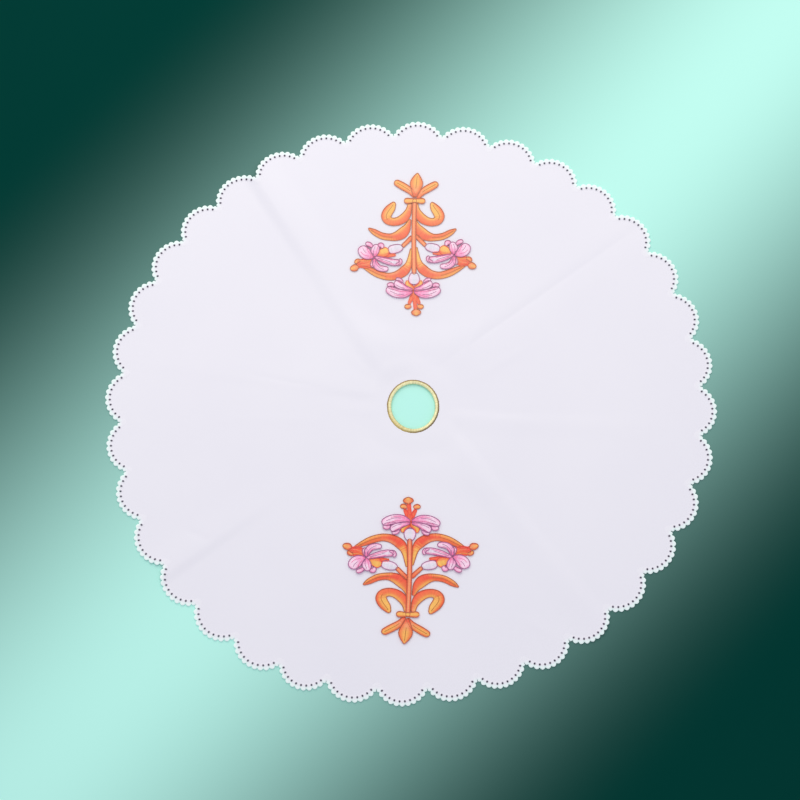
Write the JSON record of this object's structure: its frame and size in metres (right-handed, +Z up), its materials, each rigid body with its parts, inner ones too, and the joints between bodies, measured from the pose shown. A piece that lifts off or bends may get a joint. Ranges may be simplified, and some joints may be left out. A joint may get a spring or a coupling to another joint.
{
  "type": "round chalice veil",
  "caption": "Round white veil for an altar vessel, with a scalloped picot edge, a gold-bound hole at its middle and embroidered lily sprays, laid out flat.",
  "frame": {"origin": "on the surface that the veil lies on, under the middle of its outline", "axes": "+Z up out of the embroidered side, +Y from the lower spray to the upper one, +X to the right of one who looks along +Y"},
  "size_m": [0.5541, 0.5489, 0.004],
  "materials": {
    "white_cloth": "fine plain weave, matt",
    "white_thread": "close thread work, soft sheen",
    "gold_thread": "metallic thread, satin",
    "embroidery": "shaded satin stitch in orange, gold and pink"
  },
  "bodies": {
    "root": {"veil_cloth": "white_cloth", "picot_edging": "white_thread", "gold_ring": "gold_thread", "upper_spray": "embroidery", "lower_spray": "embroidery"}
  },
  "joints": []
}
